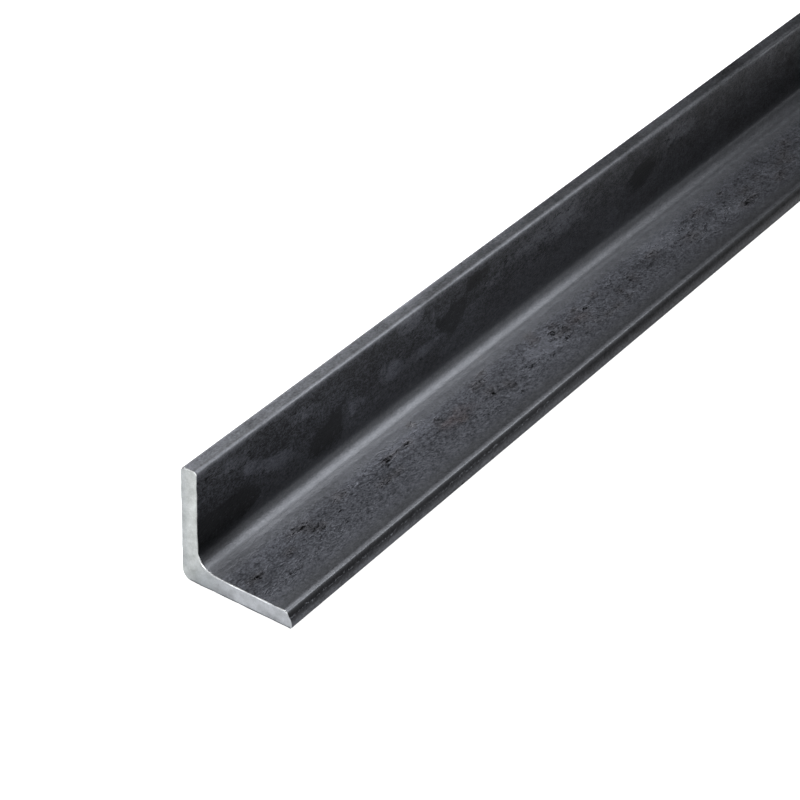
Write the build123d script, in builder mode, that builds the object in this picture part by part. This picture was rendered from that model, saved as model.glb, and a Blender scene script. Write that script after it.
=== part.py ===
from build123d import *
from math import radians, tan
import os

# Hot-rolled steel equal angle, lying on one leg with the other leg standing.
#
# Frame: +Z up, Y along the bar, X across it. The origin is on the floor, in the
# middle of the bar's outer box. The heel, the bar's outside corner, is at -X.

# Driving dimensions, in millimetres
leg_width = 35.0      # heel to tip, the same for both legs
leg_thickness = 5.0   # between the two parallel faces of a leg
root_radius = 5.0     # hollow of the inside corner
tip_radius = 1.2      # the two edges of each tip
tip_lean = 20.0       # degrees that the lying leg's tip leans back at its top
heel_radius = 2.8     # outside corner
bar_length = 1000.0   # between the two sawn ends
saw_chamfer = 0.3     # burr filed off round each sawn end

# Where the faces lie, worked out from the sizes above
heel_x = -leg_width / 2
tip_x = leg_width / 2
inner_x = heel_x + leg_thickness
floor_z = 0.0
inner_z = floor_z + leg_thickness
tip_z = floor_z + leg_width

# The leaning tip is placed so that its rounded foot reaches the full width
foot_x = tip_x - tip_radius + tip_radius / tan(radians(90 - tip_lean) / 2)
lean_x = foot_x - leg_thickness * tan(radians(tip_lean))

heel = (heel_x, floor_z)
root = (inner_x, inner_z)
lying_tip = [(foot_x, floor_z), (lean_x, inner_z)]
upright_tip = [(inner_x, tip_z), (heel_x, tip_z)]


def corners_at(sketch, places):
    """The corners of the sketch that lie at the given (x, z) places."""
    # The sketch's plane faces -Y, so its own two axes are the frame's X and Z.
    points = [Vector(x, z) for x, z in places]
    return [v for v in sketch.vertices() if v.center() in points]


with BuildPart() as angle_bar:
    # Section across the bar: an L of two equal legs, with the rolls' radii.
    with BuildSketch(Plane.XZ) as section:
        with BuildLine():
            Polyline(heel, *lying_tip, root, *upright_tip, close=True)
        make_face()
        fillet(corners_at(section, [root]), root_radius)
        fillet(corners_at(section, [heel]), heel_radius)
        fillet(corners_at(section, lying_tip + upright_tip), tip_radius)
    extrude(amount=bar_length / 2, both=True)

    # Both ends are sawn square, and the burr is filed off all round.
    sawn_faces = angle_bar.faces().filter_by(Axis.Y)
    chamfer(sawn_faces.edges(), saw_chamfer)

angle_bar.part.label = "angle_bar"

os.makedirs("parts", exist_ok=True)
export_step(angle_bar.part, "parts/angle_bar.step")
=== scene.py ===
# %% [markdown]
# # A bar of steel angle
#
# This lesson dresses one bar of hot-rolled steel angle. The bar was squeezed
# between grooved rolls while it glowed, so its skin is a dark blue-grey oxide
# called mill scale, and its corners have the rolls' radii. Both ends were
# sawn cold, so they show bright metal.
#
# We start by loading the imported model. Its box tells us how large the bar is
# and where it lies, and nothing below may grow out of that box.

import math

import bpy
import numpy as np
from mathutils import Matrix, Vector


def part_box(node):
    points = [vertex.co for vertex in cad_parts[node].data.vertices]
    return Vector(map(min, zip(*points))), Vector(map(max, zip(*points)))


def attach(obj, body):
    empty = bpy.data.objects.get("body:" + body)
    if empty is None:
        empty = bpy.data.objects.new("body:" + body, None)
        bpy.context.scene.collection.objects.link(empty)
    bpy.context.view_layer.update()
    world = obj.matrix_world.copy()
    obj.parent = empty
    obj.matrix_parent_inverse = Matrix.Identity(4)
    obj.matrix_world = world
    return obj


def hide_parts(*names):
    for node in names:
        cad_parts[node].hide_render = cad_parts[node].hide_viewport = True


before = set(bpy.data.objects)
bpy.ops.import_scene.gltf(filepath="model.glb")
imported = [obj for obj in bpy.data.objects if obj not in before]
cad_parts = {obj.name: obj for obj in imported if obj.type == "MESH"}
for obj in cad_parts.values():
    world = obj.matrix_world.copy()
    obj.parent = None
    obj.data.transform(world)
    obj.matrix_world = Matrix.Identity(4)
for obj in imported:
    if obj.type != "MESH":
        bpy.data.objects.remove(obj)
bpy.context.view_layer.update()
BAR_NODE = "angle_bar"
MM = 0.001

low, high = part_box(BAR_NODE)
leg_width = high.z - low.z
bar_length = high.y - low.y
print(f"leg {leg_width / MM:.1f} mm, bar {bar_length / MM:.0f} mm")

# %% [markdown]
# ## The section
#
# Cut across, the bar is an L: a path of six corners, each rounded by its own
# radius. The lying leg's tip leans back a little, because the rolls have to
# let the bar go. A curve object could draw this, but we also want to know
# which way the steel faces at every point, so we work it out with numpy.

# %% Corners of the section
leg_thickness = 5.0 * MM
root_radius = 5.0 * MM
heel_radius = 2.8 * MM
tip_radius = 1.2 * MM
foot_radius = 0.6 * MM
tight_radius = 0.50 * MM
upright_wide_radius = 1.5 * MM
lying_wide_radius = 2.8 * MM
tip_lean = math.radians(20.0)

foot_x = leg_width - foot_radius + foot_radius / math.tan((math.pi / 2 - tip_lean) / 2)
lean_x = foot_x - leg_thickness * math.tan(tip_lean)

TIP_ARC = 9
CORNER_ARC = 19
section_corners = [
    # x and z from the heel, first and last radius, points on the curve
    (0.0, leg_width, tip_radius, tip_radius, TIP_ARC),
    (0.0, 0.0, heel_radius, heel_radius, CORNER_ARC),
    (foot_x, 0.0, foot_radius, foot_radius, TIP_ARC),
    (lean_x, leg_thickness, tight_radius, lying_wide_radius, TIP_ARC),
    (leg_thickness, leg_thickness, root_radius, root_radius, CORNER_ARC),
    (leg_thickness, leg_width, tight_radius, upright_wide_radius, TIP_ARC),
]
print(f"{len(section_corners)} corners, toe {(foot_x - lean_x) / MM:.2f} mm off upright")

# %% [markdown]
# ## Rounding a corner
#
# We walk round the L with the steel on our left. At a corner our heading
# turns by some angle, to the left at an edge and to the right in the hollow
# root, and the side that the steel faces turns with it. The rolls leave the
# two inner tip edges tight on one side and wide on the other, so the radius
# may change as we turn, as it does on a spiral. Small straight steps, each
# as long as the radius there times the turn, follow any such curve.

# %% Curves and flats
def rounded_corner(before, corner, after, first_radius, last_radius, count):
    """Points on the curve that rounds a corner, and the facing at each. The
    radius goes from the first to the last by equal ratios. Each step is
    2 * radius * sin(half its turn) long, along the middle heading. The whole
    curve then slides so that it starts and ends on the two sides."""
    arriving = (corner - before) / np.linalg.norm(corner - before)
    leaving = (after - corner) / np.linalg.norm(after - corner)
    cross = arriving[0] * leaving[1] - arriving[1] * leaving[0]
    turn = math.atan2(cross, arriving @ leaving)
    angle = math.atan2(-arriving[0], arriving[1]) + turn * np.linspace(0.0, 1.0, count)
    facing = np.stack([np.cos(angle), np.sin(angle)], axis=1)
    middle = (angle[1:] + angle[:-1]) / 2
    heading = np.stack([-np.sin(middle), np.cos(middle)], axis=1)
    radius = np.geomspace(first_radius, last_radius, count - 1)
    step = 2.0 * radius * math.sin(abs(turn) / (count - 1) / 2)
    curve = np.concatenate([[[0.0, 0.0]], np.cumsum(step[:, None] * heading, axis=0)])
    slide = np.linalg.solve(facing[[0, -1]], [
        (corner - curve[0]) @ facing[0], (corner - curve[-1]) @ facing[-1],
    ])
    return curve + slide, facing


def flat(begin, finish, facing, count):
    """Points between two arcs, leaving out both ends, at (1 - cos a) / 2 of
    the way for evenly spaced a, so that they crowd towards the arcs."""
    angle = math.pi * np.arange(1, count + 1) / (count + 1)
    share = ((1.0 - np.cos(angle)) / 2)[:, None]
    return begin + share * (finish - begin), np.tile(facing, (count, 1))

# %% [markdown]
# ## The closed loop
#
# Now we join six curves and six flats. The loop starts in the middle of the
# upright leg's tip, goes down the back, round the heel and along the
# underside to the lying leg's tip, and comes back over that leg, through the
# root and up the inner face. The outer way and the inner way get the same
# number of points, which will let us close the ends with a tidy grid. We
# also note which zone of the section every point is in.

# %% Join curves and flats
TIP_FLAT = 5
FACE_FLAT = 17
flat_points = [FACE_FLAT, FACE_FLAT, TIP_FLAT, FACE_FLAT, FACE_FLAT, TIP_FLAT]

places = np.array([corner[:2] for corner in section_corners])
arcs = [
    rounded_corner(places[i - 1], places[i], places[(i + 1) % 6], *section_corners[i][2:])
    for i in range(6)
]
pieces = []
for i in range(6):
    points, facing = arcs[i]
    following = arcs[(i + 1) % 6][0]
    pieces += [arcs[i], flat(points[-1], following[0], facing[-1], flat_points[i])]

shift = TIP_FLAT // 2 + 1
loop = np.roll(np.concatenate([piece[0] for piece in pieces]), shift, axis=0)
loop_facing = np.roll(np.concatenate([piece[1] for piece in pieces]), shift, axis=0)
zone = np.roll(np.repeat(np.arange(12), [len(piece[0]) for piece in pieces]), shift)
(OUTER_TIP_EDGE, BACK, HEEL, UNDERSIDE, FOOT, TOE,
 TOE_EDGE, LYING_FACE, ROOT, UPRIGHT_FACE, INNER_TIP_EDGE, TIP) = range(12)
LOOP_COUNT = len(loop)
UPRIGHT_TIP = 0
LYING_TIP = LOOP_COUNT // 2
WAY_COUNT = LYING_TIP - 1

step_lengths = np.linalg.norm(np.roll(loop, -1, axis=0) - loop, axis=1)
perimeter = step_lengths.sum()
around = np.concatenate([[0.0], np.cumsum(step_lengths)[:-1]])
print(f"{LOOP_COUNT} points round the section, {perimeter / MM:.1f} mm in all")

# %% [markdown]
# ## Stations along the bar
#
# The loop is carried along the bar and set down at many stations. They are
# close together at the sawn ends, where the filed edge is, and wider apart
# between. A sine that slows down at both ends does that without a list.

# %% Stations
STATIONS = 640
END_CROWDING = 0.35
file_depth = 0.30 * MM

share = np.linspace(-1.0, 1.0, STATIONS)
spread = (1.0 - END_CROWDING) * share + END_CROWDING * np.sin(share * math.pi / 2)
station_y = (bar_length / 2 - 2.0 * file_depth) * spread
gaps = np.diff(station_y)
print(f"{STATIONS} stations, {gaps.min() / MM:.2f} to {gaps.max() / MM:.2f} mm apart")

along, about = np.meshgrid(station_y, around, indexing="ij")

# %% [markdown]
# ## Smooth randomness
#
# Rolled steel is never quite flat. We want a height that wanders slowly, with
# no seam where the loop closes. Random numbers on a coarse lattice, blended
# with an S-shaped weight, give exactly that. The lattice wraps round the
# section, and a seed makes it the same each time.

# %% Lattice noise
def wandering(along, about, along_size, about_size, seed):
    """Smooth heights from 0 to 1. The plane is cut into cells of the two
    sizes, each cell corner gets a random number, and a point takes the blend
    of its four corners, weighted by t * t * (3 - 2t) each way."""
    rows = int(math.ceil(bar_length / along_size)) + 3
    columns = max(int(round(perimeter / about_size)), 3)
    lattice = np.random.default_rng(seed).random((rows, columns))
    u = (along + bar_length / 2) / along_size + 1.0
    v = np.mod(about / perimeter, 1.0) * columns
    row = np.clip(np.floor(u).astype(int), 0, rows - 2)
    column = np.floor(v).astype(int) % columns
    s, t = u - row, v - np.floor(v)
    s, t = s * s * (3.0 - 2.0 * s), t * t * (3.0 - 2.0 * t)
    beside = (column + 1) % columns
    first = lattice[row, column] * (1.0 - t) + lattice[row, beside] * t
    second = lattice[row + 1, column] * (1.0 - t) + lattice[row + 1, beside] * t
    return first * (1.0 - s) + second * s

# %% [markdown]
# ## Where the scale is thick, thin or pitted
#
# Mill scale is uneven. Where it flaked off and grew again it is lighter, and
# where it stayed thick it is nearly black. Flakes that fell on the glowing
# bar were rolled in, and left rows of pits along the lying leg. Here and there
# rust has begun to bloom. Noise alone would spread all of this evenly, so the
# large patches are set down one by one as soft ellipses, and noise only frays
# them later. Each has its place along the bar and round the section, so we
# first look up where a height on the upright leg, or a distance from the
# heel, lies on the unrolled loop. A patch on an edge goes by its zone.

# %% Places on the unrolled skin
def on_upright(height):
    """Distance round the section of a height (mm) on the upright leg's inner face."""
    return np.interp(height * MM, loop[zone == UPRIGHT_FACE, 1], around[zone == UPRIGHT_FACE])


def on_lying(from_heel):
    """Distance round the section of a place (mm) on the lying leg's upper face."""
    return np.interp(-from_heel * MM, -loop[zone == LYING_FACE, 0], around[zone == LYING_FACE])


def in_zone(of_zone):
    """Distance round the section of the middle of a zone."""
    return around[zone == of_zone].mean()


def ellipses(spots):
    """Sum of soft ellipses on the unrolled skin. With s and t the distances
    from the middle in half lengths and half widths, each adds its strength
    times exp(-(s * s + t * t) squared), which is nearly flat inside."""
    total = np.zeros_like(along)
    for y, middle, half_length, half_width, slant, strength in spots:
        s = along - low.y - y
        t = about - middle - slant * s
        t = np.mod(t + perimeter / 2, perimeter) - perimeter / 2
        total += strength * np.exp(-((s / half_length) ** 2 + (t / half_width) ** 2) ** 2)
    return total

# %% [markdown]
# The lists are placed one by one, on the inner faces and edges, and mostly on
# the quarter metre next to us. The rest of the bar, its back and its
# underside get patches of the same kinds from a seeded random generator, so
# that no side looks bare.

# %% Patches of thick and thin scale
upright_patches = [
    # along, height, half length, half width (mm), slant, strength
    (32, 20.3, 12, 4.0, -0.25, 0.50), (21.5, 24, 2.5, 2.0, 0, 0.45),
    (68, 18.5, 7, 3.6, 0.1, 0.44), (84, 21, 9, 4.8, -0.30, 0.42),
    (97, 19.3, 6, 3.0, 0, 0.45), (30, 29, 22, 4.0, 0, 0.30),
    (92, 32, 8, 3.0, 0, 0.45), (105, 18.3, 8, 3.5, -0.10, 0.35),
    (117, 30, 4, 3.5, 0, 0.45), (160, 26, 32, 6.5, 0, 0.35),
    (8, 14, 18, 5.5, 0, -0.80), (55, 15, 9, 5.0, 0, -0.60),
    (60, 20, 4, 4.0, 0, -0.40), (115, 23, 6, 6.0, 0.3, -0.65),
    (108, 24, 3, 2.5, -0.5, -0.65), (108, 15.8, 6, 0.9, 0.1, -0.50),
    (127, 30, 11, 3.0, 0, -0.35), (32, 24, 6, 1.0, -0.25, -0.50),
    (215, 22, 14, 5.0, 0.2, -0.45), (240, 28, 18, 4.0, 0, 0.40),
]
lying_patches = [
    # along, distance from the heel, half length, half width (mm), slant, strength
    (75, 14, 20, 5.0, 0, 0.26), (112, 24, 22, 4.5, 0, 0.24), (150, 18, 18, 6.0, 0, 0.28),
    (205, 16, 26, 8.0, 0, 0.34), (240, 24, 20, 5.0, 0, 0.26), (20, 17, 12, 3.5, 0, -0.22),
    (42, 18, 9, 3.0, 0.1, -0.20),
]
# Painted light and shade: the patches on the edges are not scale. They paint highlights on the
# foot and the toe's edge near the cut, and shade on the toe and along the inner tip's edge further
# on.
edge_light_and_shade_patches = [
    # along, zone, half length, half width (mm), slant, strength
    (30, FOOT, 45, 2.6, 0, 0.50), (290, TOE, 140, 3.0, 0, -1.00),
    (8, TOE_EDGE, 32, 1.5, 0, 0.45), (250, INNER_TIP_EDGE, 200, 1.2, 0, -0.36),
]


def in_place(spots, round_section):
    """Turns a list of spots into metres. The function round_section gives the
    distance round the unrolled loop of a spot's second number."""
    return [
        (y * MM, round_section(place), half_length * MM, half_width * MM, slant, strength)
        for y, place, half_length, half_width, slant, strength in spots
    ]


SCATTERED_PATCHES = 170
INNER_SHARE = 0.35
PATCHES_LISTED_TO = 260 * MM
outer_way = around[zone == LYING_FACE][0]

scale_patches_and_edge_paint = in_place(upright_patches, on_upright) + in_place(lying_patches, on_lying)
scale_patches_and_edge_paint += in_place(edge_light_and_shade_patches, in_zone)
rng = np.random.default_rng(12)
for _ in range(SCATTERED_PATCHES):
    y, middle = rng.uniform(0.0, bar_length), rng.uniform(0.0, outer_way)
    if rng.random() < INNER_SHARE:
        y, middle = rng.uniform(PATCHES_LISTED_TO, bar_length), rng.uniform(outer_way, perimeter)
    scale_patches_and_edge_paint.append((
        y, middle, rng.uniform(8, 34) * MM, rng.uniform(2.5, 8) * MM,
        rng.uniform(-0.2, 0.2), rng.choice([-0.38, -0.28, 0.24, 0.32]),
    ))
patches = np.clip(ellipses(scale_patches_and_edge_paint), -1.0, 1.0)
print(len(scale_patches_and_edge_paint), "patches, from", patches.min().round(2), "to", patches.max().round(2))

# %% Rows of rolled-in pits
lying_pits = [
    # along, distance from the heel, half length, half width (mm)
    (6, 19, 3.5, 1.4), (31, 18, 2.5, 1.4), (34, 19, 2, 1.2), (20, 19.5, 2.5, 1.1),
    (29, 15, 6, 1.1), (47, 15, 3.5, 1.3), (58, 20.5, 2, 1.1), (61.5, 21, 2.5, 1.4),
    (66, 21, 2, 1.1), (70, 15.5, 4.5, 1.1), (78, 16, 2.5, 1.3), (85.5, 11.5, 1.4, 1.4),
    (91, 16.5, 2.5, 1.0), (97, 21, 2.5, 1.4), (113, 15, 3.5, 1.7), (118, 13, 2.5, 1.1),
    (113, 20, 3.5, 1.3), (119, 22, 2, 2.2), (143, 13, 2.5, 1.5), (142, 15.5, 2.5, 1.3),
    (150, 18.5, 3.5, 1.3), (153, 20, 2.5, 1.2), (163, 15.8, 1.9, 1.3), (162, 19.5, 4, 1.9),
    (158, 24, 2, 1.0), (163, 24, 2, 1.0), (168, 24.3, 2.5, 1.1), (173.5, 24.6, 2.6, 1.3),
    (180, 24.3, 2, 0.9), (181, 21, 1.5, 1.7), (190, 20, 2.5, 1.4), (174, 15.5, 2, 1.0),
    (152, 15, 2.5, 1.0), (205, 18, 4, 1.5), (222, 22, 5, 1.5), (236, 16, 5, 1.4),
]
FAR_ROWS, OUTER_ROWS = 150, 160
ROWS_LISTED_TO = 240 * MM
PIT_LINES = [15.5, 20.0, 24.3]
LINE_WANDER = 1.2

rows = in_place([(*pit, 0.0, 1.0) for pit in lying_pits], on_lying)
for _ in range(FAR_ROWS):
    y = rng.uniform(ROWS_LISTED_TO, bar_length)
    middle = on_lying(rng.choice(PIT_LINES) + rng.normal(0.0, LINE_WANDER))
    rows.append((y, middle, rng.uniform(1.5, 5) * MM, rng.uniform(0.9, 1.8) * MM, 0.0, 1.0))
for _ in range(OUTER_ROWS):
    y, middle = rng.uniform(0.0, bar_length), rng.uniform(6 * MM, outer_way - 8 * MM)
    rows.append((y, middle, rng.uniform(1.5, 6) * MM, rng.uniform(0.9, 2.0) * MM, 0.0, 0.8))
pit_rows = np.clip(ellipses(rows), 0.0, 1.0)
print(len(rows), "rows of pits cover", f"{100 * (pit_rows > 0.5).mean():.1f} % of the skin")

# %% Blooms of rust
rust_spots = [
    # along, distance from the heel, half length, half width (mm), slant, strength
    (97, 19.5, 8, 2.6, 0, 0.5), (160, 19, 6, 2.0, 0, 0.2),
]
rust_bloom = np.clip(ellipses(in_place(rust_spots, on_lying)), 0.0, 1.0)
print("rust reaches", f"{100 * (rust_bloom > 0.1).mean():.2f} % of the skin")

# %% [markdown]
# ## The skin's relief
#
# The rolls leave long shallow waves, a few hundredths of a millimetre deep,
# smaller ones where scale came off, and the rows of pits. All of them only
# take steel away, so the bar stays inside its box. The root blends into the
# faces more slowly than its arc says, and more so over the lying leg, so a
# soft swelling is laid along it. The lying leg's toe bulges a little too.

# %% Relief of the skin
LONG_WAVE_DEPTH = 0.035 * MM
SHORT_WAVE_DEPTH = 0.015 * MM
PIT_ROW_DEPTH = 0.03 * MM
TOE_BULGE = 0.30 * MM
TOE_REACH = 2.0 * MM
SWELLING_HEIGHT = 0.55 * MM
LYING_REACH = 5.4 * MM
UPRIGHT_REACH = 4.5 * MM

from_root = around - around[zone == ROOT].mean()
reach = np.where(from_root < 0.0, LYING_REACH, UPRIGHT_REACH)
swelling = SWELLING_HEIGHT * np.exp(-((from_root / reach) ** 2))

waves = LONG_WAVE_DEPTH * wandering(along, about, 55 * MM, 11 * MM, seed=3)
waves += SHORT_WAVE_DEPTH * wandering(along, about, 9 * MM, 4 * MM, seed=8)
off_toe = np.clip(np.abs(around - around[LYING_TIP]) / TOE_REACH, 0.0, 1.0)
bulge = TOE_BULGE * np.cos(off_toe * math.pi / 2) ** 2

pits = PIT_ROW_DEPTH * pit_rows
inset = waves + pits - swelling - bulge
print(f"waves up to {waves.max() / MM:.3f} mm deep, swelling {swelling.max() / MM:.2f} mm high")

# %% [markdown]
# ## Rings of the skin
#
# A ring is the loop pushed inwards by the relief. At each end a few more
# rings turn the filed edge: their push and their place follow a quarter of a
# circle, whose size changes round the bar as a hand-held file would leave it.

# %% Rings
EDGE_RINGS = 5


def ring_points(push, y):
    """The section's loop pushed inwards against its facing, set down at y.
    Both have one row for each ring."""
    section = loop - push[..., None] * loop_facing
    x = low.x + section[..., 0]
    z = low.z + section[..., 1]
    return np.stack([x, np.broadcast_to(y, x.shape), z], axis=-1)


def end_rings(first_push, end_y, sign, seed):
    """Rings that round off one sawn end. While the angle a goes from 0 to 90
    degrees, the push grows by size * (1 - cos a), and the ring moves out
    until it is size * (1 - sin a) short of the end."""
    angle = np.linspace(0.0, math.pi / 2, EDGE_RINGS)[:, None]
    hand = wandering(np.full_like(around, end_y), around, 4 * MM, 1.8 * MM, seed)
    size = file_depth * (0.5 + hand)
    push = first_push + size * (1.0 - np.cos(angle))
    return ring_points(push, end_y - sign * size * (1.0 - np.sin(angle)))


middle_rings = ring_points(inset, station_y[:, None])
near_rings = end_rings(inset[0], low.y, -1.0, seed=21)[::-1]
far_rings = end_rings(inset[-1], high.y, 1.0, seed=22)
rings = np.concatenate([near_rings, middle_rings, far_rings])
RING_COUNT = len(rings)
print(RING_COUNT, "rings with", RING_COUNT * LOOP_COUNT, "points")

# %% [markdown]
# ## The sawn ends
#
# A single many-sided face would close an end, but it shades badly. Instead
# each end is a grid: every point of the outer way round is joined straight
# across the steel to its partner on the inner way, with a few points
# between. At the two tips the grid shrinks to the single tip point and is
# closed with triangles.

# %% End grids
ACROSS = 6


def end_grid(ring):
    """Points inside an end: straight blends between the outer and the inner
    way round its last ring."""
    outer = ring[UPRIGHT_TIP + 1:LYING_TIP]
    inner = ring[:LYING_TIP:-1]
    share = np.linspace(0.0, 1.0, ACROSS + 1)[1:-1, None, None]
    return (1.0 - share) * outer + share * inner


near_grid = end_grid(rings[0])
far_grid = end_grid(rings[-1])
vertices = np.concatenate([
    rings.reshape(-1, 3), near_grid.reshape(-1, 3), far_grid.reshape(-1, 3),
])
print(len(vertices), "points in all")

# %% [markdown]
# ## Faces
#
# On the skin, the four corners of a face are two neighbours on one ring and
# the same two on the next. On an end we lay out the numbers of the grid's
# points as a table, with the ring's own points as its first and last row, and
# read the faces off the table in the same way.

# %% Number the faces
def skin_faces():
    """Point numbers of the face between two rings, going forwards along the
    bar first and round the section second, so that it faces out."""
    numbers = np.arange(RING_COUNT * LOOP_COUNT).reshape(RING_COUNT, LOOP_COUNT)
    beside = np.roll(numbers, -1, axis=1)
    corners = [numbers[:-1], numbers[1:], beside[1:], beside[:-1]]
    return np.stack(corners, axis=-1).reshape(-1, 4).tolist()


def end_faces(first_on_ring, first_in_grid, flipped):
    """Faces of one sawn end: quads over the table of point numbers, and a fan
    of triangles at each tip."""
    outer = first_on_ring + UPRIGHT_TIP + 1 + np.arange(WAY_COUNT)
    inner = first_on_ring + LOOP_COUNT - 1 - np.arange(WAY_COUNT)
    inside = first_in_grid + np.arange((ACROSS - 1) * WAY_COUNT).reshape(ACROSS - 1, WAY_COUNT)
    table = np.concatenate([outer[None], inside, inner[None]])
    corners = [table[:-1, :-1], table[:-1, 1:], table[1:, 1:], table[1:, :-1]]
    faces = np.stack(corners, axis=-1).reshape(-1, 4).tolist()
    columns = table[:, 0].tolist(), table[:, -1].tolist()
    faces += [[first_on_ring + UPRIGHT_TIP, a, b] for a, b in zip(columns[0], columns[0][1:])]
    faces += [[first_on_ring + LYING_TIP, b, a] for a, b in zip(columns[1], columns[1][1:])]
    return [face[::-1] for face in faces] if flipped else faces


skin = skin_faces()
grid_start = RING_COUNT * LOOP_COUNT
near_end = end_faces(0, grid_start, False)
far_end = end_faces(grid_start - LOOP_COUNT, grid_start + near_grid[..., 0].size, True)
faces = skin + near_end + far_end
print(len(faces), "faces, about", 2 * len(faces), "triangles")

# %% [markdown]
# ## The bar as a mesh
#
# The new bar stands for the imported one, so it replaces that node and rides on
# the same body. We check the enclosed volume: it is positive only if the
# faces point outwards, and times the density of steel it is the weight.

# %% Make the bar
STEEL_DENSITY = 7850.0


def put_in_scene(name, data):
    """A new object that shows a mesh, a light or a camera, at the origin."""
    thing = bpy.data.objects.new(name, data)
    bpy.context.scene.collection.objects.link(thing)
    return thing


bar_mesh = bpy.data.meshes.new("rolled_bar")
bar_mesh.from_pydata(vertices.tolist(), [], faces)
bar = put_in_scene("rolled_bar", bar_mesh)
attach(bar, "root")
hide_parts(BAR_NODE)

bar_mesh.calc_loop_triangles()
triangles = np.zeros(3 * len(bar_mesh.loop_triangles), np.int32)
bar_mesh.loop_triangles.foreach_get("vertices", triangles)
a, b, c = vertices[triangles.reshape(-1, 3)].transpose(1, 0, 2)
volume = np.einsum("ij,ij->i", a, np.cross(b, c)).sum() / 6.0
weight = volume * STEEL_DENSITY
print(f"volume {volume * 1e6:.1f} cm3, {weight:.2f} kg, {len(triangles) // 3} triangles")

# %% [markdown]
# ## What the finish needs to know
#
# The finish changes from place to place, and the mesh can carry that: an
# attribute is one number for each point, which a material can read. Some of
# ours only change round the section, so a short table gives each. The first
# is painted light and shade, which multiplies the skin's colour: painted
# highlights beside the root and on the tips' edges, and painted shade on the
# upright leg and the toe. The skin is pitted and mottled on the flat faces,
# and calm in the root and along the edges. The last table paints more shade
# beside each cut, dimming the painted highlights: most in the root and on
# the upright leg just above it.

# %% Tables round the section
def table_round(readings):
    """Reads a table at every point of the loop. For each zone the table has
    pairs of a share of the way through it and a value. Between two pairs the
    value changes in a straight line."""
    places, values = [], []
    for of_zone, pairs in readings.items():
        inside = around[zone == of_zone]
        places += [inside[0] + share * (inside[-1] - inside[0]) for share, _ in pairs]
        values += [value for _, value in pairs]
    return np.interp(around, places, values, period=perimeter)


# Painted light and shade: these factors on the skin's colour paint highlights beside the root and
# on the tips' edges, and shade on the upright leg and the toe.
painted_light_and_shade = table_round({
    OUTER_TIP_EDGE: [(0.0, 1.00)], BACK: [(0.5, 1.00)], HEEL: [(0.5, 1.05)],
    UNDERSIDE: [(0.5, 1.00)], FOOT: [(0.5, 0.70)],
    TOE: [(0.10, 0.66), (0.40, 0.36), (0.60, 0.32), (0.85, 0.20), (1.0, 0.36)],
    TOE_EDGE: [(0.30, 0.98), (0.60, 0.82), (1.0, 0.76)],
    LYING_FACE: [
        (0.05, 0.92), (0.15, 1.10), (0.30, 1.28), (0.60, 1.34), (0.80, 1.62), (0.93, 2.12),
    ],
    ROOT: [
        (0.0, 2.28), (0.10, 1.38), (0.20, 1.02), (0.30, 1.28), (0.40, 1.07), (0.60, 1.25),
        (0.80, 1.06), (0.95, 0.78),
    ],
    UPRIGHT_FACE: [
        (0.03, 0.46), (0.12, 0.28), (0.50, 0.31), (0.85, 0.33), (0.93, 0.32), (0.98, 0.58),
    ],
    INNER_TIP_EDGE: [(0.20, 1.52), (0.40, 1.36), (0.80, 1.16), (1.0, 0.95)],
})
pitting = table_round({
    OUTER_TIP_EDGE: [(0.0, 0.30)], BACK: [(0.0, 0.30), (0.5, 0.35)], UNDERSIDE: [(0.5, 0.45)],
    FOOT: [(0.5, 0.25)], TOE: [(0.5, 0.25)], TOE_EDGE: [(0.0, 0.10)],
    LYING_FACE: [(0.05, 0.10), (0.30, 0.48), (0.70, 0.50), (0.92, 0.12)],
    ROOT: [(0.0, 0.05), (1.0, 0.05)], UPRIGHT_FACE: [(0.12, 0.30), (0.60, 0.45), (0.96, 0.45)],
    INNER_TIP_EDGE: [(0.2, 0.10), (1.0, 0.15)],
})
mottling = table_round({
    OUTER_TIP_EDGE: [(0.0, 1.00)], BACK: [(0.0, 0.90), (0.5, 1.30)], UNDERSIDE: [(0.5, 1.30)],
    FOOT: [(0.5, 0.80)], TOE: [(0.8, 0.80)], TOE_EDGE: [(0.0, 0.35)],
    LYING_FACE: [(0.05, 0.50), (0.28, 1.22), (0.75, 1.30), (0.95, 0.40)],
    ROOT: [(0.0, 0.30), (1.0, 0.35)], UPRIGHT_FACE: [(0.12, 2.20), (0.60, 3.20), (0.96, 2.40)],
    INNER_TIP_EDGE: [(0.2, 0.45), (0.9, 0.70)],
})
# Painted shade beside each cut: how much the painted highlights are dimmed there, most in the root
# and low on the upright leg.
painted_end_shade = table_round({
    LYING_FACE: [(0.85, 0.00)],
    ROOT: [
        (0.0, 0.16), (0.10, 0.48), (0.20, 0.35), (0.30, 0.18), (0.40, 0.22), (0.60, 0.40),
        (0.80, 0.52),
    ],
    UPRIGHT_FACE: [(0.10, 0.52), (0.40, 0.42), (0.60, 0.0)],
})
print(f"shine {painted_light_and_shade.min():.2f} to {painted_light_and_shade.max():.2f}, dulled by up to {painted_end_shade.max():.2f}")

# %% [markdown]
# The patches, the rows of pits, the rust, how near the saw was and the
# shading of the cut face join them. A UV map in metres unrolls the skin, so
# that a pattern can run along an edge: u goes along the bar and v round the
# section.

# %% Store the attributes
SAW_REACH = 1.2 * MM
END_SHADE_REACH = 18 * MM
BACK_STRIP = 2.0 * MM
HEEL_ROUNDING = 4 * MM
BOTTOM_STRIP = 0.45 * MM
CLOUD_X, CLOUD_Z, CLOUD_REACH = 7 * MM, 1.5 * MM, 5 * MM


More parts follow.
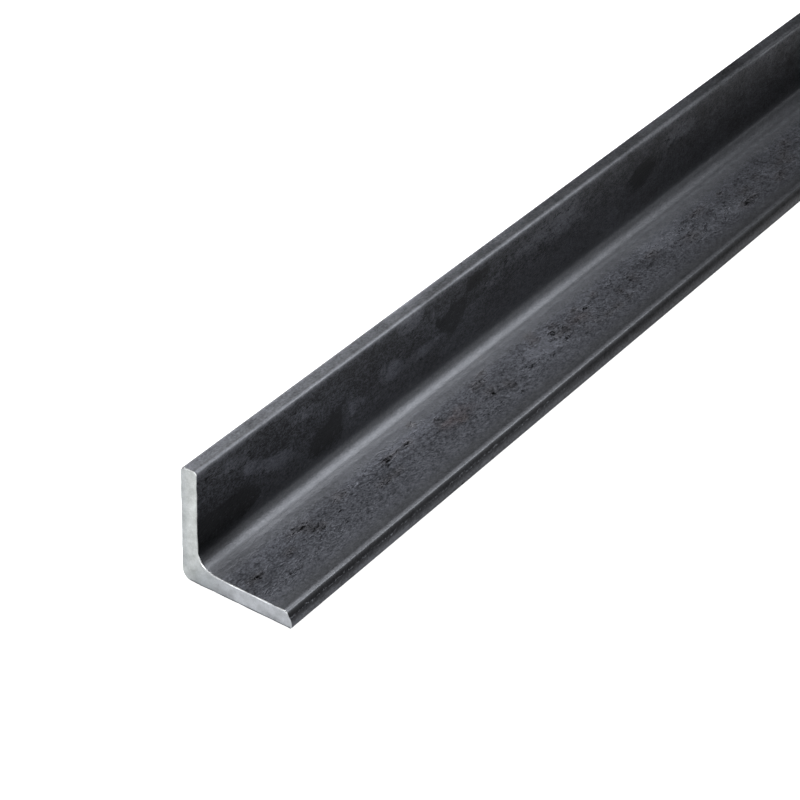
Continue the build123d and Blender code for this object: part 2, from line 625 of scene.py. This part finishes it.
def for_every_point(on_skin):
    """Spreads values round the section, or on all stations, to all points of
    the bar: the rings of each filed edge repeat the nearest station, and the
    end grids, which the skin doesn't reach, get zero."""
    on_skin = np.broadcast_to(on_skin, along.shape)
    first, last = on_skin[:1], on_skin[-1:]
    all_rings = np.concatenate([
        np.repeat(first, EDGE_RINGS, axis=0), on_skin, np.repeat(last, EDGE_RINGS, axis=0),
    ])
    return np.concatenate([all_rings.ravel(), np.zeros(2 * near_grid[..., 0].size)])


def store(name, values):
    """One number for each point of the bar, readable by name in a material."""
    attribute = bar_mesh.attributes.new(name, "FLOAT", "POINT")
    attribute.data.foreach_set("value", values.astype(np.float32))
    print(f"{name}: {values.min():.2f} to {values.max():.2f}")


to_cut = (bar_length / 2 - np.abs(station_y))[:, None]
# Painted shade near each cut, fading out about two centimetres from the cut.
near_cut_weight = np.exp(-((to_cut / END_SHADE_REACH) ** 4))
skin_values = {
    "scale_and_edge_paint_patch": patches, "pit_rows": pit_rows, "rust_bloom": rust_bloom,
    "pitting": pitting, "mottling": mottling, "painted_light_and_shade": painted_light_and_shade * (1.0 - painted_end_shade * near_cut_weight),
}
for name, on_skin in skin_values.items():
    store(name, for_every_point(on_skin))

to_end = np.minimum(vertices[:, 1] - low.y, high.y - vertices[:, 1])
store("near_saw", np.exp(-to_end / SAW_REACH))

section_x, section_z = vertices[:, 0] - low.x, vertices[:, 2] - low.z
back = np.exp(-(section_x / BACK_STRIP) ** 2) * (section_z > HEEL_ROUNDING)
bottom = np.exp(-(section_z / BOTTOM_STRIP) ** 2)
from_cloud = ((section_x - CLOUD_X) ** 2 + (section_z - CLOUD_Z) ** 2) / CLOUD_REACH ** 2
store("cut_shade", np.clip(0.55 * back + 0.8 * bottom + 0.75 * np.exp(-from_cloud), 0.0, 1.0))

# %% Unrolled UV map
corner_points = np.zeros(len(bar_mesh.loops), np.int32)
bar_mesh.loops.foreach_get("vertex_index", corner_points)
round_section = np.concatenate([
    np.tile(around, RING_COUNT), np.zeros(near_grid[..., 0].size * 2),
])
uv = np.stack([vertices[corner_points, 1] - low.y, round_section[corner_points]], axis=1)
skin_corners = uv[:4 * len(skin)].reshape(-1, 4, 2)
closing = np.ptp(skin_corners[..., 1], axis=1) > perimeter / 2
skin_corners[closing, :, 1] += np.where(skin_corners[closing, :, 1] == 0.0, perimeter, 0.0)
end_corners = corner_points[4 * len(skin):]
uv[4 * len(skin):] = np.stack([section_x[end_corners], section_z[end_corners]], axis=1)
uv_layer = bar_mesh.uv_layers.new(name="unrolled")
uv_layer.data.foreach_set("uv", uv.astype(np.float32).ravel())
print(closing.sum(), "faces close the loop")

# %% [markdown]
# ## Building a finish from nodes
#
# A finish is a tree of small nodes. Written out in full, a dozen nodes fill
# a page, so a few helpers keep the cells short: these add a node, do a sum
# and multiply, and others follow where they are first needed. Where a helper
# is handed a node's output it makes a link, and where it is handed a number
# it sets it.

# %% Helpers for node trees
def feed(tree, socket, value):
    """Links an output to a socket, or sets the socket to a number or colour."""
    if isinstance(value, bpy.types.NodeSocket):
        tree.links.new(value, socket)
    else:
        socket.default_value = value


def add(tree, kind, inputs=None, **settings):
    """Adds a node, sets its properties and feeds its inputs by name."""
    node = tree.nodes.new(kind)
    for key, value in settings.items():
        setattr(node, key, value)
    for key, value in (inputs or {}).items():
        feed(tree, node.inputs[key], value)
    return node


def sums(tree, operation, *values, clamp=False):
    """One step of arithmetic on numbers or outputs."""
    node = add(tree, "ShaderNodeMath", operation=operation, use_clamp=clamp)
    for socket, value in zip(node.inputs, values):
        feed(tree, socket, value)
    return node.outputs[0]


def times(tree, total, *factors):
    """Multiplies outputs and numbers, from left to right."""
    for factor in factors:
        total = sums(tree, "MULTIPLY", total, factor)
    return total

# %% [markdown]
# ## Steel grain
#
# Both the skin and the cut have a grain too fine to model: the skin is
# leathery at about a millimetre and sandy below that, and the cut is only
# sandy. Two noises of different sizes give both, and each finish asks for
# the sizes that it needs. They come out centred on zero, so that a finish
# can add as much of them as it wants without growing lighter or darker.

# %% Group: steel grain
def new_group(name, inputs, outputs):
    """A node group with number inputs after a Vector, and number outputs.
    Returns the tree, what the group is given and what is wanted of it."""
    tree = bpy.data.node_groups.new(name, "ShaderNodeTree")
    tree.interface.new_socket("Vector", in_out="INPUT", socket_type="NodeSocketVector")
    for title, value in inputs.items():
        socket = tree.interface.new_socket(title, in_out="INPUT", socket_type="NodeSocketFloat")
        socket.default_value = value
    for title in outputs:
        tree.interface.new_socket(title, in_out="OUTPUT", socket_type="NodeSocketFloat")
    given, wanted = tree.nodes.new("NodeGroupInput"), tree.nodes.new("NodeGroupOutput")
    return tree, given.outputs, wanted.inputs


def noise(tree, place, scale, **inputs):
    """A noise texture's value, from 0 to 1 with 0.5 as its middle."""
    inputs = {"Vector": place, "Scale": scale, **inputs}
    return add(tree, "ShaderNodeTexNoise", inputs).outputs["Fac"]


grain_group, given, wanted = new_group(
    "steel_grain", {"Leather Scale": 600.0, "Sand Scale": 2600.0}, ["Leather", "Sand"],
)
for title, detail, strength in (("Leather", 3.0, 3.2), ("Sand", 1.0, 4.4)):
    grains = noise(
        grain_group, given["Vector"], given[f"{title} Scale"], Detail=detail, Roughness=0.6,
    )
    centred = sums(grain_group, "SUBTRACT", grains, 0.5)
    feed(grain_group, wanted[title], times(grain_group, centred, strength))

# %% [markdown]
# ## Soft clouds
#
# Oxide grows in clouds. The group gives a cloud value centred on zero, and
# the same clouds with speckled borders, as flakes leave them.

# %% Group: soft clouds
cloud_group, given, wanted = new_group(
    "soft_clouds", {"Scale": 60.0, "Speckle": 0.25}, ["Cloud", "Ragged"],
)
place, scale = given["Vector"], given["Scale"]
clouds = noise(cloud_group, place, scale, Detail=4.0, Roughness=0.55, Distortion=0.4)
speckle_scale = times(cloud_group, scale, 16.0)
speckle = noise(cloud_group, place, speckle_scale, Detail=3.0, Roughness=0.7)
cloud = sums(cloud_group, "SUBTRACT", clouds, 0.5)
fray = times(cloud_group, sums(cloud_group, "SUBTRACT", speckle, 0.5), given["Speckle"])
ragged = sums(cloud_group, "ADD", cloud, fray)
feed(cloud_group, wanted["Cloud"], times(cloud_group, cloud, 3.0))
feed(cloud_group, wanted["Ragged"], times(cloud_group, ragged, 3.0))

# %% [markdown]
# ## Pits and specks
#
# A pit is a small dent with a dark floor. A Voronoi texture gives every
# point the distance to the middle of its cell and a random colour for the
# whole cell. If a pit's radius is that random number times the density, most
# cells get a pit too small to see and a few get a good one, which is how
# real pitting looks. The same group makes bright specks.

# %% Group: pits
def vector_sums(tree, operation, *values, scale=None):
    """One step of arithmetic on vectors or colours. It gives a vector, and
    for a distance it gives a number."""
    node = add(tree, "ShaderNodeVectorMath", operation=operation)
    for socket, value in zip(node.inputs, values):
        feed(tree, socket, value)
    if scale is not None:
        feed(tree, node.inputs["Scale"], scale)
    return node.outputs["Value" if operation == "DISTANCE" else "Vector"]


pit_group, given, wanted = new_group(
    "scattered_pits", {"Scale": 500.0, "Density": 0.3, "Softness": 0.12}, ["Mask"],
)
wobble = add(pit_group, "ShaderNodeTexNoise", {
    "Vector": given["Vector"], "Scale": 900.0, "Detail": 2.0,
})
centred = vector_sums(pit_group, "SUBTRACT", wobble.outputs["Color"], (0.5, 0.5, 0.5))
pushed = vector_sums(pit_group, "SCALE", centred, scale=0.0016)
bent = vector_sums(pit_group, "ADD", given["Vector"], pushed)
cells = add(pit_group, "ShaderNodeTexVoronoi", {
    "Vector": bent, "Scale": given["Scale"], "Randomness": 1.0,
})
chance = add(pit_group, "ShaderNodeSeparateColor", {"Color": cells.outputs["Color"]})
chance = sums(pit_group, "POWER", chance.outputs["Red"], 1.5)
radius = times(pit_group, chance, given["Density"])
inside = sums(pit_group, "SUBTRACT", radius, cells.outputs["Distance"])
mask = sums(pit_group, "DIVIDE", inside, given["Softness"], clamp=True)
feed(pit_group, wanted["Mask"], mask)

# %% [markdown]
# ## Creases
#
# Between the pits the scale is creased like leather. A noise crosses its
# middle value along thin winding lines, so a mask of where the noise is
# within a small width of its middle draws creases. A second, coarser noise
# breaks them into short pieces.

# %% Group: creases
def remap(tree, value, low_in, high_in, low_out=0.0, high_out=1.0):
    """Moves a value from one range to another along an S-shaped curve."""
    node = add(tree, "ShaderNodeMapRange", interpolation_type="SMOOTHSTEP")
    for key, number in zip(("Value", "From Min", "From Max", "To Min", "To Max"),
                           (value, low_in, high_in, low_out, high_out)):
        feed(tree, node.inputs[key], number)
    return node.outputs["Result"]


crease_group, given, wanted = new_group(
    "leather_creases", {"Scale": 420.0, "Width": 0.03}, ["Mask"],
)
place, scale = given["Vector"], given["Scale"]
winding = noise(crease_group, place, scale, Detail=3.0, Roughness=0.65, Distortion=0.6)
breaks = noise(crease_group, place, times(crease_group, scale, 0.6), Detail=2.0)
from_middle = sums(crease_group, "ABSOLUTE", sums(crease_group, "SUBTRACT", winding, 0.5))
line = sums(crease_group, "DIVIDE", from_middle, given["Width"])
line = remap(crease_group, line, 1.0, 0.3)
shown = remap(crease_group, breaks, 0.42, 0.58)
feed(crease_group, wanted["Mask"], times(crease_group, line, shown))
print("groups:", ", ".join(group.name for group in bpy.data.node_groups))

# %% [markdown]
# ## The rolled skin
#
# Mill scale is an oxide that still shines like metal, but darkly: it is
# fully metallic here, with a low, slightly blue colour. Three things change
# that colour from place to place: the patches we placed, with borders frayed
# by the clouds, the leather and sand of the grain, and the pits and creases.
# Where the scale is thin it is lighter and smoother, so the roughness follows
# the same patches.

# %% Material: rolled skin
def start_material(name):
    """A material with only its shader and output, and its object coordinates."""
    material = bpy.data.materials.new(name)
    material.use_nodes = True
    tree = material.node_tree
    place = add(tree, "ShaderNodeTexCoord").outputs["Object"]
    return material, tree, tree.nodes["Principled BSDF"], place


def stretched(tree, place, scale):
    """Coordinates scaled differently along each axis, which stretches a
    pattern along the axis with the smallest scale."""
    return add(tree, "ShaderNodeMapping", {"Vector": place, "Scale": scale}).outputs["Vector"]


def use_group(tree, group, **inputs):
    """Places a node group and feeds its inputs; underscores stand for spaces."""
    node = add(tree, "ShaderNodeGroup", node_tree=group)
    for key, value in inputs.items():
        feed(tree, node.inputs[key.replace("_", " ")], value)
    return node.outputs


def stored(tree, name):
    """Reads one of the bar's attributes."""
    return add(tree, "ShaderNodeAttribute", attribute_name=name).outputs["Fac"]


skin_material, tree, skin_shader, place = start_material("rolled_skin")
along_bar = stretched(tree, place, (1.0, 0.55, 1.0))
grain = use_group(tree, grain_group, Vector=along_bar, Leather_Scale=820.0, Sand_Scale=2300.0)
clouds = use_group(tree, cloud_group, Vector=along_bar, Scale=75.0, Speckle=0.30)
small_clouds = use_group(tree, cloud_group, Vector=along_bar, Scale=240.0, Speckle=0.30)

# %% Skin: patches with frayed borders
def weighted(tree, total, *terms):
    """Adds outputs to a starting value, each times its own weight."""
    for value, weight in terms:
        total = sums(tree, "MULTIPLY_ADD", value, weight, total)
    return total


# On the edges these patches are painted light and shade; elsewhere they are thick and thin scale.
frayed = weighted(tree, stored(tree, "scale_and_edge_paint_patch"), (clouds["Ragged"], 0.32))
thin_scale_and_edge_light = remap(tree, frayed, 0.14, 0.44)
thick_scale_and_edge_shade = remap(tree, frayed, -0.14, -0.46)
change = weighted(
    tree, 0.0, (thin_scale_and_edge_light, 0.60), (thick_scale_and_edge_shade, -0.48), (clouds["Cloud"], 0.13),
    (small_clouds["Ragged"], 0.26), (grain["Leather"], 0.36), (grain["Sand"], 0.42),
)
tone = weighted(tree, 1.0, (change, stored(tree, "mottling")), (stored(tree, "near_saw"), 0.25))
tone = sums(tree, "MAXIMUM", tone, 0.15)

# %% [markdown]
# Pits gather where the attributes say so, and along the borders of the
# patches. Creases fill the ground around them. Both darken the skin, while a
# few bright specks catch the light.

# %% Skin: creases, pits and bright specks
pitted = stored(tree, "pitting")
in_rows = stored(tree, "pit_rows")
often_pitted = times(tree, pitted, 1.2)
off_border = sums(tree, "ABSOLUTE", sums(tree, "SUBTRACT", frayed, 0.28))
density = weighted(
    tree, 0.0, (remap(tree, small_clouds["Ragged"], -0.2, 0.9), pitted),
    (remap(tree, off_border, 0.22, 0.04), often_pitted), (in_rows, 0.75),
)
pit_space = stretched(tree, place, (1.0, 0.5, 1.0))
pits = use_group(tree, pit_group, Vector=pit_space, Scale=620.0, Density=density, Softness=0.14)
fine_pits = use_group(
    tree, pit_group, Vector=pit_space, Scale=1100.0, Density=often_pitted, Softness=0.2,
)
speck_space = stretched(tree, place, (1.1, 0.6, 1.1))
few_specks = times(tree, pitted, 0.40)
specks = use_group(
    tree, pit_group, Vector=speck_space, Scale=700.0, Density=few_specks, Softness=0.15,
)
crease_space = stretched(tree, place, (1.0, 0.42, 1.0))
creases = use_group(tree, crease_group, Vector=crease_space, Scale=820.0, Width=0.055)
crease_room = sums(tree, "MULTIPLY_ADD", density, 1.6, 0.1, clamp=True)
creased = times(tree, creases["Mask"], crease_room)
dark = weighted(tree, 0.0, (pits["Mask"], 0.45), (fine_pits["Mask"], 0.38))
dark = sums(tree, "MULTIPLY_ADD", creased, 0.62, dark, clamp=True)
bright = times(tree, specks["Mask"], 0.35)
tone = times(tree, tone, sums(tree, "SUBTRACT", 1.0, dark))
tone = weighted(tree, sums(tree, "ADD", tone, bright), (in_rows, -0.12))
# Painted light and shade: the tone is multiplied by the painted highlights and shade stored round
# the section.
tone = times(tree, tone, stored(tree, "painted_light_and_shade"))

# %% [markdown]
# A thin fin of steel squeezes out between the rolls along the lying leg's
# toe. It is too fine and ragged for the mesh, so the material draws it: its
# place is a line on the unrolled skin, one noise makes the line waver, and
# another leaves only crumbs of it, fewer where the patches are dark: thick
# scale, and the painted shade on the toe.

# %% Skin: the ragged fin along the toe
FIN_LINE = float(around[LYING_TIP] + 0.60 * MM)
FIN_WAVER = 1.8 * MM

unrolled = add(tree, "ShaderNodeUVMap", uv_map="unrolled").outputs["UV"]
spread_uv = add(tree, "ShaderNodeSeparateXYZ", {"Vector": unrolled})
waver = noise(tree, stretched(tree, unrolled, (240.0, 0.0, 0.0)), 1.0, Detail=4.0)
fin_line = weighted(tree, FIN_LINE - FIN_WAVER / 2, (waver, FIN_WAVER))
from_fin = sums(tree, "ABSOLUTE", sums(tree, "SUBTRACT", spread_uv.outputs["Y"], fin_line))
fin_shape = remap(tree, from_fin, 0.34 * MM, 0.05 * MM)
crumb_space = stretched(tree, unrolled, (0.6, 1.0, 1.0))
crumbs = noise(tree, crumb_space, 1300.0, Detail=4.0, Roughness=0.75)
left_over = remap(tree, frayed, -0.40, 0.30)
fin = times(tree, fin_shape, remap(tree, crumbs, 0.50, 0.61), left_over)
tone = weighted(tree, tone, (fin, 1.60))

# %% [markdown]
# Now the colours: where the skin is little pitted, in the root and along the
# edges, it is a plainer grey than the pitted scale, the rows of pits are a
# little brown, and the bloom of rust is reddish. The masks that darken the
# skin also roughen and dent it.

# %% Skin: colour, roughness and relief
SCALE_BLUE = (0.0853, 0.0890, 0.1015, 1.0)
LOW_PIT_GREY = (0.0860, 0.0895, 0.0985, 1.0)
SCALE_BROWN = (0.0960, 0.0850, 0.0800, 1.0)
RUST_RED = (0.1080, 0.0780, 0.0740, 1.0)


def blend(tree, factor, first, second):
    """Mixes two colours."""
    node = add(tree, "ShaderNodeMix", data_type="RGBA")
    for socket, value in zip((node.inputs[0], node.inputs[6], node.inputs[7]),
                             (factor, first, second)):
        feed(tree, socket, value)
    return node.outputs[2]


def finish_surface(tree, shader, colour, tone, rough, relief):
    """Feeds a bare metal's shader: its colour times the tone, its roughness,
    and a bump whose height is the relief in metres."""
    toned = vector_sums(tree, "SCALE", colour, scale=tone)
    bump = add(tree, "ShaderNodeBump", {"Height": relief, "Strength": 1.0, "Distance": 1.0})
    feed(tree, shader.inputs["Base Color"], toned)
    feed(tree, shader.inputs["Roughness"], rough)
    feed(tree, shader.inputs["Normal"], bump.outputs["Normal"])
    shader.inputs["Metallic"].default_value = 1.0


brownish = remap(tree, small_clouds["Cloud"], 0.5, 1.3, 0.0, 0.6)
rusting = sums(tree, "MULTIPLY_ADD", in_rows, 0.25, brownish, clamp=True)
ragged = remap(tree, small_clouds["Ragged"], -0.7, 0.6)
rusty = times(tree, stored(tree, "rust_bloom"), ragged)
scale_colour = blend(tree, remap(tree, pitted, 0.10, 0.30), LOW_PIT_GREY, SCALE_BLUE)
scale_colour = blend(tree, rusting, scale_colour, SCALE_BROWN)
scale_colour = blend(tree, rusty, scale_colour, RUST_RED)
rough = weighted(
    tree, 0.36, (grain["Leather"], 0.03), (thin_scale_and_edge_light, -0.03), (thick_scale_and_edge_shade, 0.02), (dark, 0.25),
)
relief = weighted(
    tree, 0.0, (grain["Leather"], 0.016 * MM), (grain["Sand"], 0.005 * MM),
    (dark, -0.035 * MM), (bright, 0.03 * MM), (fin, 0.06 * MM),
)
finish_surface(tree, skin_shader, scale_colour, tone, rough, relief)
print(skin_material.name, "has", len(tree.nodes), "nodes")

# %% [markdown]
# ## The sawn end
#
# A cold saw leaves bright steel with very fine arcs from its teeth. They are
# rings round the saw's arbor, which stood well above the bar, so the
# distance to that point makes them: a sine of the distance, broken up by
# noise. The cut is darker along the back, the bottom and round the heel, and
# has pores and a little mottling.

# %% Material: sawn steel
SAW_ARBOR = (0.05, 0.0, 0.16)
TOOTH_PITCH = 0.45 * MM

sawn_material, tree, sawn_shader, place = start_material("sawn_steel")
grain = use_group(tree, grain_group, Vector=place, Leather_Scale=420.0, Sand_Scale=2300.0)
clouds = use_group(tree, cloud_group, Vector=place, Scale=230.0, Speckle=0.2)
pores = use_group(tree, pit_group, Vector=place, Scale=900.0, Density=0.30, Softness=0.2)

flat_place = stretched(tree, place, (1.0, 0.0, 1.0))
to_arbor = vector_sums(tree, "DISTANCE", flat_place, SAW_ARBOR)
turns = times(tree, to_arbor, 2 * math.pi / TOOTH_PITCH)
turns = sums(tree, "MULTIPLY_ADD", clouds["Cloud"], 2.5, turns)
broken = remap(tree, grain["Leather"], -0.6, 0.8)
tooth_marks = times(tree, sums(tree, "SINE", turns), broken)

# %% [markdown]
# The file that took off the burr bared a narrow line of steel round the
# edge, and its colour is painted whiter there as a painted glint, except at
# the toe and up the inner side of the standing leg. The very bottom edge of
# the cut is dark.

# %% Cut: colour, roughness and relief
CUT_BRIGHT = (0.515, 0.537, 0.533, 1.0)
CUT_COOL_REFLECTION = (0.440, 0.456, 0.482, 1.0)
CUT_DULL = (0.330, 0.350, 0.372, 1.0)
FILED_GLINT_WHITE = (0.760, 0.780, 0.790, 1.0)
BOTTOM_EDGE_DARK = (0.100, 0.110, 0.120, 1.0)

at = add(tree, "ShaderNodeSeparateXYZ", {"Vector": place}).outputs
shaded = sums(tree, "MULTIPLY_ADD", clouds["Ragged"], 0.10, stored(tree, "cut_shade"), clamp=True)
to_toe = remap(tree, at["X"], low.x + 4 * MM, low.x + 14 * MM)
# Darker along the very bottom edge of the cut.
at_bottom_edge = remap(tree, at["Z"], low.z + 0.65 * MM, low.z + 0.30 * MM)
from_middle = sums(tree, "ABSOLUTE", at["Y"])
# Painted glint: the filed edge is painted whiter, but not at the toe or up the upright leg's inner
# side.
on_file = remap(tree, from_middle, high.y - 0.04 * MM, high.y - 0.10 * MM)
off_toe = remap(tree, at["X"], low.x + 34.2 * MM, low.x + 33.2 * MM)
up_the_leg = remap(tree, at["Z"], low.z + 9 * MM, low.z + 11 * MM)
below_tip = remap(tree, at["Z"], low.z + 34.3 * MM, low.z + 33.7 * MM)
off_leg = sums(tree, "SUBTRACT", 1.0, times(tree, up_the_leg, below_tip))
filed_glint = times(tree, on_file, off_toe, off_leg)
# Painted reflection: the end of the lying leg is painted cooler and darker than the upright's.
cut_colour = blend(tree, to_toe, CUT_BRIGHT, CUT_COOL_REFLECTION)
cut_colour = blend(tree, shaded, cut_colour, CUT_DULL)
cut_colour = blend(tree, filed_glint, cut_colour, FILED_GLINT_WHITE)
cut_colour = blend(tree, at_bottom_edge, cut_colour, BOTTOM_EDGE_DARK)
tone = weighted(
    tree, 1.02, (clouds["Cloud"], 0.36), (grain["Leather"], 0.22), (grain["Sand"], 0.08),
    (tooth_marks, 0.02), (pores["Mask"], -0.15),
)
rough = weighted(tree, 0.46, (grain["Leather"], 0.03), (shaded, 0.08), (filed_glint, -0.16))
relief = weighted(
    tree, 0.0, (tooth_marks, 0.0015 * MM), (grain["Sand"], 0.002 * MM),
    (pores["Mask"], -0.02 * MM),
)
finish_surface(tree, sawn_shader, cut_colour, tone, rough, relief)
print(sawn_material.name, "has", len(tree.nodes), "nodes")

# %% [markdown]
# ## Which face is which
#
# The saw cut through skin and steel alike, and the file that took off the
# burr bared a narrow line of steel round each end. So the sawn steel covers
# the end faces and the filed edge, and the skin has the rest. The skin is
# shaded smooth, while the flat cut keeps flat shading.

# %% Assign the materials
SKIN, CUT = 0, 1
bar_mesh.materials.append(skin_material)
bar_mesh.materials.append(sawn_material)
edge_faces = (EDGE_RINGS - 1) * LOOP_COUNT
material_index = np.full(len(faces), SKIN, np.int32)
material_index[:edge_faces] = CUT
material_index[len(skin) - edge_faces:] = CUT
smooth = np.ones(len(faces), bool)
smooth[len(skin):] = False
bar_mesh.polygons.foreach_set("material_index", material_index)
bar_mesh.polygons.foreach_set("use_smooth", smooth)
bar_mesh.update()
print((material_index == CUT).sum(), "faces of bare steel")

# %% [markdown]
# ## The floor
#
# The bar lies on a plain white floor, bright enough to show no shadow. A
# large plane is enough. It glows a little of its own, as a white sheet lit
# from below does. Real softboxes are far brighter than dark steel makes them
# look, so to the camera the sheet glows more than to the bar: the Light Path
# node tells a ray from the camera from a ray that lights the bar. Where the
# steel is near, ambient occlusion dims the glow into a faint painted contact
# shadow.

# %% Floor
SHEET_REACH = 6.0
GLOW_ON_BAR = 0.30
GLOW_IN_VIEW = 0.97
CONTACT_REACH = 4.0 * MM

r = SHEET_REACH
floor_mesh = bpy.data.meshes.new("floor")
floor_mesh.from_pydata(
    [(-r, -r, low.z), (r, -r, low.z), (r, r, low.z), (-r, r, low.z)], [], [(0, 1, 2, 3)]
)
floor = put_in_scene("floor", floor_mesh)

floor_material = bpy.data.materials.new("white_sheet")
floor_material.use_nodes = True
tree = floor_material.node_tree
in_view = add(tree, "ShaderNodeLightPath").outputs["Is Camera Ray"]
floor_shader = tree.nodes["Principled BSDF"]
floor_shader.inputs["Base Color"].default_value = (0.8, 0.8, 0.8, 1.0)
floor_shader.inputs["Roughness"].default_value = 0.9
floor_shader.inputs["Emission Color"].default_value = (1.0, 1.0, 1.0, 1.0)
glow = sums(tree, "MULTIPLY_ADD", in_view, GLOW_IN_VIEW - GLOW_ON_BAR, GLOW_ON_BAR)
# Painted contact shadow: ambient occlusion dims the sheet's glow where the steel is near.
painted_contact_shadow = add(tree, "ShaderNodeAmbientOcclusion", {"Distance": CONTACT_REACH}, samples=8)
glow = times(tree, glow, remap(tree, painted_contact_shadow.outputs["AO"], 0.35, 1.0, 0.72, 1.0))
feed(tree, floor_shader.inputs["Emission Strength"], glow)
floor_mesh.materials.append(floor_material)

# %% [markdown]
# ## The room
#
# Dark steel takes its look from what it mirrors. A white room would flatten
# it, so the room only gives a dim grey, and the softboxes do the work. Where
# the camera looks past the floor it should still see white.

# %% Room
ROOM_LIGHT = 0.02

scene = bpy.context.scene
scene.view_settings.view_transform = "Standard"
room = bpy.data.worlds.new("room")
scene.world = room
room.use_nodes = True
tree = room.node_tree
dim = add(tree, "ShaderNodeBackground", {"Color": (1.0, 1.0, 1.0, 1.0), "Strength": ROOM_LIGHT})
white = add(tree, "ShaderNodeBackground", {"Color": (1.0, 1.0, 1.0, 1.0), "Strength": 1.0})
seen = add(tree, "ShaderNodeLightPath").outputs["Is Camera Ray"]
either = add(tree, "ShaderNodeMixShader", {"Fac": seen})
tree.links.new(dim.outputs[0], either.inputs[1])
tree.links.new(white.outputs[0], either.inputs[2])
tree.links.new(either.outputs[0], tree.nodes["World Output"].inputs["Surface"])

# %% [markdown]
# ## Softboxes
#
# A softbox is a lit square sheet of cloth. Each one is placed by its compass
# direction and height, seen from a point over the near end of the bar. Those
# on the left and behind are the ones that the bar's level faces mirror
# towards us. Those on the right draw the light lines along the root and the
# inner edges, and the three in front light the sawn end.

# %% Softboxes
LIT_POINT = Vector((low.x, low.y + 50 * MM, leg_width))


def softbox(name, compass, height, distance, size, power):
    """A square light at a distance from the lit point, turned to face it. The
    compass angle goes from the bar's right side (0) to its far end (90)."""
    turn, rise = math.radians(compass), math.radians(height)
    away = Vector((
        math.cos(turn) * math.cos(rise), math.sin(turn) * math.cos(rise), math.sin(rise),
    ))
    light = bpy.data.lights.new(name, "AREA")
    light.shape = "SQUARE"
    light.size = size
    light.energy = power
    box = put_in_scene(name, light)
    box.location = LIT_POINT + distance * away
    box.rotation_euler = (-away).to_track_quat("-Z", "Y").to_euler()


softboxes = [
    # name, compass and height in degrees, distance and size in metres, power in watts
    ("left_low", 140, 20, 1.20, 0.54, 2.45), ("left_mid", 140, 36, 1.20, 0.54, 1.80),
    ("back", 99, 45, 1.60, 0.72, 1.28), ("high_back", 99, 55, 1.60, 0.72, 3.20),
    ("overhead", 90, 70, 1.60, 0.72, 7.20), ("right_back", 57, 36, 0.60, 0.27, 1.00),
    ("right_mid", 50, 30, 0.60, 0.27, 0.32), ("right_low", 44, 10, 0.80, 0.36, 0.30),
    ("front_right", 304, 25, 0.80, 0.36, 3.35), ("front_left", 236, 42, 0.80, 0.36, 1.05),
    ("front_low", 250, 10, 0.80, 0.36, 1.70),
]
for settings in softboxes:
    softbox(*settings)
print(len(softboxes), "softboxes,", f"{sum(row[-1] for row in softboxes):.2f} watts")

# %% [markdown]
# ## Camera
#
# A long lens keeps the bar's edges nearly parallel. The camera stands to the
# right of the bar's near end and looks down on it. Its three axes are worked
# out from compass, height and roll, and become the columns of its matrix.

# %% Camera
CAMERA_PLACE = (0.3249, -0.9122, 0.4229)
CAMERA_LENS = 119.3
CAMERA_ANGLES = (33.93, 34.43, 2.15)

compass, height, roll = (math.radians(angle) for angle in CAMERA_ANGLES)

forward = Vector((
    -math.sin(compass) * math.cos(height), math.cos(compass) * math.cos(height), -math.sin(height),
))
level = Vector((math.cos(compass), math.sin(compass), 0.0))
upright = level.cross(forward)
right = math.cos(roll) * level + math.sin(roll) * upright
up = right.cross(forward)

camera_data = bpy.data.cameras.new("camera")
camera_data.lens = CAMERA_LENS
camera_data.sensor_width = 36.0
camera = put_in_scene("camera", camera_data)
turned = Matrix((right, up, -forward)).transposed().to_4x4()
camera.matrix_world = Matrix.Translation(CAMERA_PLACE) @ turned
scene.camera = camera
print("camera at", [round(v, 3) for v in camera.matrix_world.translation])
